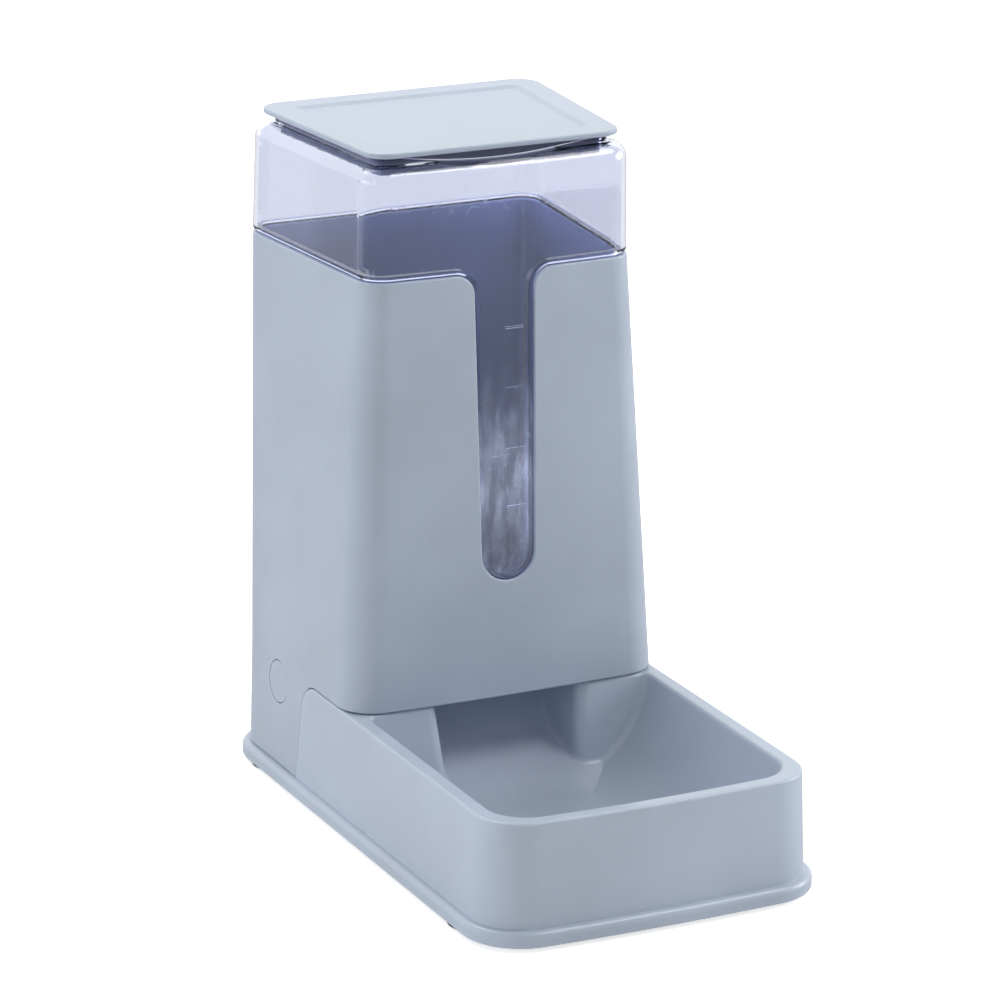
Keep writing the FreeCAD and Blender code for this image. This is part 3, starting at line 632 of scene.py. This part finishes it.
@dataclass
class FloorRibs:
    """A guessed grid of stiffening ribs below the flat floor of the bowl.

    The ribs across are lower by step, so that no two faces share a plane. The sizes are given,
    and the front ends don't meet the bowl cleanly.
    """

    along: int = 4
    across: int = 6
    width: float = 52.0 * MM
    front: float = -96.0 * MM
    back: float = -11.0 * MM
    low: float = 4.0 * MM
    high: float = 12.8 * MM
    thickness: float = 1.4 * MM
    step: float = 0.4 * MM
    body: str = "stand"
    finish: str = "base_plastic"

    SIZES: ClassVar[tuple[str, ...]] = ("Width", "Depth", "Height", "Thickness")

    def build(self, plastic: bpy.types.Material) -> bpy.types.Object:
        """Makes the ribs as one plain mesh.

        Args:
            plastic: The base's material.

        Returns:
            The finished piece.
        """
        values = {
            "Along": self.along, "Across": self.across, "Width": self.width,
            "Depth": self.back - self.front, "Height": self.high - self.low,
            "Thickness": self.thickness, "Plastic": plastic,
            "Middle": (0.0, (self.front + self.back) / 2, (self.low + self.high) / 2)}
        piece = bpy.data.objects.new("floor_ribs", bpy.data.meshes.new("floor_ribs_seed"))
        bpy.context.scene.collection.objects.link(piece)
        modifier = piece.modifiers.new("ribs", "NODES")
        modifier.node_group = self.tree()
        for item in modifier.node_group.interface.items_tree:
            if item.in_out == "INPUT":
                modifier[item.identifier] = values[item.name]
        graph = bpy.context.evaluated_depsgraph_get()
        mesh = bpy.data.meshes.new_from_object(piece.evaluated_get(graph))
        mesh.name = "floor_ribs"
        piece.modifiers.clear()
        piece.data = mesh
        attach(piece, self.body)
        LOG.info("made %s with %d ribs", piece.name, self.along + self.across)
        return piece

    def tree(self) -> bpy.types.NodeTree:
        """Builds the node tree that lays out both rows of ribs.

        Returns:
            The geometry tree, with its sizes as named inputs.
        """
        tree = bpy.data.node_groups.new("rib_grid", "GeometryNodeTree")
        tree.interface.new_socket("Geometry", in_out="OUTPUT", socket_type="NodeSocketGeometry")
        for name in ("Along", "Across"):
            tree.interface.new_socket(name, in_out="INPUT", socket_type="NodeSocketInt")
        for name in self.SIZES:
            tree.interface.new_socket(name, in_out="INPUT", socket_type="NodeSocketFloat")
        tree.interface.new_socket("Middle", in_out="INPUT", socket_type="NodeSocketVector")
        tree.interface.new_socket("Plastic", in_out="INPUT", socket_type="NodeSocketMaterial")
        graph = Graph(tree)
        given = graph.add("NodeGroupInput").outputs
        both = graph.add("GeometryNodeJoinGeometry")
        for row in (self.row(graph, given, "Along", 0), self.row(graph, given, "Across", 1)):
            tree.links.new(row, both.inputs[0])
        placed = graph.add("GeometryNodeTransform", {
            "Geometry": both.outputs[0], "Translation": given["Middle"]})
        whole = graph.add("GeometryNodeRealizeInstances", {"Geometry": placed.outputs[0]})
        dressed = graph.add("GeometryNodeSetMaterial", {
            "Geometry": whole.outputs[0], "Material": given["Plastic"]})
        graph.add("NodeGroupOutput", {"Geometry": dressed.outputs[0]})
        return tree

    def row(self, graph: Graph, given: Any, count: str, axis: int) -> Socket:
        """One row of parallel ribs, spread along an axis.

        Args:
            graph: The geometry tree's graph.
            given: The tree's input sockets.
            count: Name of the input that counts the ribs.
            axis: 0 spreads them across the width, 1 along the depth.

        Returns:
            The geometry socket of the row.
        """
        reach = given["Width" if axis == 0 else "Depth"]
        length = given["Depth" if axis == 0 else "Width"]
        start = graph.maths("MULTIPLY", graph.maths("SUBTRACT", reach, given["Thickness"]), -0.5)
        gaps = graph.maths("SUBTRACT", given[count], 1.0)
        step = graph.maths("DIVIDE", graph.maths("SUBTRACT", reach, given["Thickness"]), gaps)
        height = graph.maths("SUBTRACT", given["Height"], axis * self.step)
        first = graph.add("ShaderNodeCombineXYZ", {axis: start}).outputs[0]
        offset = graph.add("ShaderNodeCombineXYZ", {axis: step}).outputs[0]
        size = graph.add("ShaderNodeCombineXYZ", {axis: given["Thickness"], 1 - axis: length, 2: height})
        line = graph.add("GeometryNodeMeshLine", {
            "Count": given[count], "Start Location": first, "Offset": offset}, mode="OFFSET")
        rib = graph.add("GeometryNodeMeshCube", {"Size": size.outputs[0]})
        placed = graph.add("GeometryNodeInstanceOnPoints", {
            "Points": line.outputs[0], "Instance": rib.outputs[0]})
        return placed.outputs[0]


@dataclass
class Tower:
    """The opaque shell and the two release buttons in its sides."""

    node: str = "tower_shell"
    latches: tuple[str, ...] = ("left_latch", "right_latch")

    def top(self) -> float:
        """Height of the shell's upper edge."""
        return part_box(self.node)[1].z

    def dress(self, plastic: bpy.types.Material) -> None:
        """Gives the shell and the latches their finish.

        Args:
            plastic: The material.
        """
        for node in (self.node, *self.latches):
            dress(node, plastic)


@dataclass
class Hopper:
    """The clear hopper with its window rib; a low collar stands above its shoulder."""

    node: str = "hopper"
    collar: float = 3.0 * MM

    def shoulder(self) -> float:
        """Height above which there is only the collar."""
        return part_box(self.node)[1].z - self.collar

    def dress(self, clear: bpy.types.Material) -> None:
        """Gives the hopper its finish.

        Args:
            clear: The material.
        """
        dress(self.node, clear)


@dataclass
class Lid:
    """The lift-off lid; what hangs below its plate is painted dark as shade."""

    node: str = "lid"
    plate: float = 2.5 * MM
    clear_of_plate: float = 0.2 * MM

    def plug_shade_top(self) -> float:
        """Height just below the plate, where the painted shade starts."""
        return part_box(self.node)[1].z - self.plate - self.clear_of_plate

    def dress(self, plastic: bpy.types.Material) -> None:
        """Gives the lid its finish.

        Args:
            plastic: The material.
        """
        dress(self.node, plastic)


@dataclass(frozen=True)
class SoftBox:
    """A rectangular studio lamp that faces a point; mirrored says if gloss shows it."""

    name: str
    place: tuple[float, float, float]
    aim: tuple[float, float, float]
    width: float
    height: float
    watts: float
    mirrored: bool = True

    def build(self) -> None:
        """Adds the lamp to the scene."""
        lamp = bpy.data.lights.new(self.name, "AREA")
        lamp.shape = "RECTANGLE"
        lamp.size = self.width
        lamp.size_y = self.height
        lamp.energy = self.watts
        holder = bpy.data.objects.new(self.name, lamp)
        holder.visible_glossy = self.mirrored
        bpy.context.scene.collection.objects.link(holder)
        holder.location = self.place
        facing = Vector(self.aim) - Vector(self.place)
        holder.rotation_euler = facing.to_track_quat("-Z", "Y").to_euler()


@dataclass
class Studio:
    """Pale floor, even surroundings and soft boxes."""

    floor_half: float = 4.0
    floor_tone: float = 0.9
    floor_glow: float = 0.68
    ambient: float = 0.37
    gloss: Span = (0.4, 1.25)
    gloss_reach: Span = (-0.2, 0.8)
    floor_gloss: float = 0.55
    boxes: tuple[SoftBox, ...] = (
        SoftBox("back_box", (-0.25, 0.95, 1.75), (0.0, 0.0, 0.2), 1.5, 1.1, 17.5),
        SoftBox("top_box", (0.9, -0.6, 1.7), (0.0, -0.05, 0.05), 0.9, 0.7, 12.0),
        SoftBox("left_box", (-1.45, 0.25, 0.28), (0.0, 0.0, 0.1), 1.1, 0.5, 7.6, mirrored=False),
        SoftBox("right_box", (1.5, -0.35, 0.6), (0.0, 0.0, 0.1), 0.9, 0.7, 12.0),
        SoftBox("strip_box", (-1.3, -0.75, 0.4), (0.0, 0.0, 0.2), 0.12, 0.7, 0.8),
    )

    def build(self) -> None:
        """Adds the floor, the surroundings and the lamps."""
        for box in self.boxes:
            box.build()
        self.surroundings()
        self.floor()
        LOG.info("studio with %d soft boxes", len(self.boxes))

    def surroundings(self) -> None:
        """White to the camera and through glass, an even light, and a pale backdrop in gloss."""
        world = bpy.data.worlds.new("studio")
        world.use_nodes = True
        bpy.context.scene.world = world
        graph = Graph(world.node_tree)
        path = graph.add("ShaderNodeLightPath").outputs
        seen = graph.maths("MAXIMUM", path["Is Camera Ray"], path["Is Transmission Ray"])
        toward = graph.add("ShaderNodeTexCoord").outputs["Generated"]
        behind = graph.add("ShaderNodeSeparateXYZ", {0: toward}).outputs["Y"]
        mirrored = graph.remap(behind, *self.gloss_reach, *self.gloss)
        mirrored = graph.maths("MULTIPLY", path["Is Glossy Ray"], mirrored)
        even = graph.maths("SUBTRACT", 1.0, path["Is Glossy Ray"])
        level = graph.maths("ADD", mirrored, graph.maths("MULTIPLY", even, self.ambient))
        level = graph.maths("MAXIMUM", level, seen)
        sky = graph.add("ShaderNodeBackground", {"Color": (1.0, 1.0, 1.0, 1.0), "Strength": level})
        graph.add("ShaderNodeOutputWorld", {"Surface": sky.outputs[0]})

    def floor(self) -> None:
        """A flat pale floor that keeps the shadow of the object."""
        half = self.floor_half
        mesh = bpy.data.meshes.new("floor")
        corners = [(-half, -half, 0.0), (half, -half, 0.0), (half, half, 0.0), (-half, half, 0.0)]
        mesh.from_pydata(corners, [], [(0, 1, 2, 3)])
        floor = bpy.data.objects.new("floor", mesh)
        bpy.context.scene.collection.objects.link(floor)
        material, graph = new_material("floor_paint")
        paint = graph.add("ShaderNodeBsdfDiffuse", {"Color": (self.floor_tone,) * 3 + (1.0,)})
        path = graph.add("ShaderNodeLightPath").outputs
        strength = graph.maths("MULTIPLY", path["Is Camera Ray"], self.floor_glow)
        glow = graph.add("ShaderNodeEmission", {"Strength": strength})
        lit = graph.add("ShaderNodeAddShader", {0: paint.outputs[0], 1: glow.outputs[0]})
        mirrored = graph.maths("SUBTRACT", path["Is Glossy Ray"], path["Is Transmission Ray"])
        gloss = graph.remap(mirrored, 0.0, 1.0, 1.0, self.floor_gloss)
        plain = graph.add("ShaderNodeEmission", {"Strength": gloss})
        seen = graph.maths("MAXIMUM", path["Is Glossy Ray"], path["Is Transmission Ray"])
        whole = graph.add("ShaderNodeMixShader", {0: seen, 1: lit.outputs[0], 2: plain.outputs[0]})
        graph.add("ShaderNodeOutputMaterial", {"Surface": whole.outputs[0]})
        mesh.materials.append(material)


@dataclass(frozen=True)
class StudioCamera:
    """The camera at the photograph's place, with a long lens."""

    place: tuple[float, float, float] = (-0.9237534, -1.83964016, 0.81594012)
    turn: float = 0.46053
    tilt: float = 0.31201
    roll: float = -0.0115
    focal_in_widths: float = 4.87973
    sensor: float = 36.0
    nearest: float = 0.05

    def build(self) -> None:
        """Adds the camera and makes it the scene's."""
        forward = Vector((
            math.sin(self.turn) * math.cos(self.tilt),
            math.cos(self.turn) * math.cos(self.tilt),
            -math.sin(self.tilt)))
        level = Vector((math.cos(self.turn), -math.sin(self.turn), 0.0))
        down = forward.cross(level)
        right = level * math.cos(self.roll) + down * math.sin(self.roll)
        up = level * math.sin(self.roll) - down * math.cos(self.roll)
        turned = Matrix((right, up, -forward)).transposed().to_4x4()
        data = bpy.data.cameras.new("photo_camera")
        data.sensor_width = self.sensor
        data.lens = self.focal_in_widths * self.sensor
        data.clip_start = self.nearest
        camera = bpy.data.objects.new("photo_camera", data)
        bpy.context.scene.collection.objects.link(camera)
        camera.matrix_world = Matrix.Translation(self.place) @ turned
        bpy.context.scene.camera = camera
        LOG.info("camera at %s", self.place)


def main() -> None:
    """Builds the finishes, dresses each piece and sets up the studio and the camera."""
    logging.basicConfig(level=logging.INFO, format="%(message)s")
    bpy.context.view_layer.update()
    bpy.context.scene.view_settings.view_transform = "Standard"
    effects = EffectLibrary()
    tower = Tower()
    body = SatinPlastic("body_plastic", BODY_TONE).build(effects)
    # The base's lighter tone is painted light.
    base = SatinPlastic("base_plastic_lit_satin", BASE_LIT_TONE).build(effects)
    lid = Lid()
    # The lid's plug below its plate is painted dark as shade.
    cover = SatinPlastic("lid_plastic_satin", LID_TONE, painted_shade_below=lid.plug_shade_top()).build(effects)
    hopper = Hopper()
    clear = ClearPlastic("clear_violet", CLEAR_TINT, tower.top(), hopper.shoulder()).build(effects)
    rubber = Rubber("black_rubber").build(effects)
    Base().dress(base, rubber)
    FloorRibs().build(base)
    tower.dress(body)
    hopper.dress(clear)
    lid.dress(cover)
    Studio().build()
    StudioCamera().build()


if __name__ == "__main__":
    main()
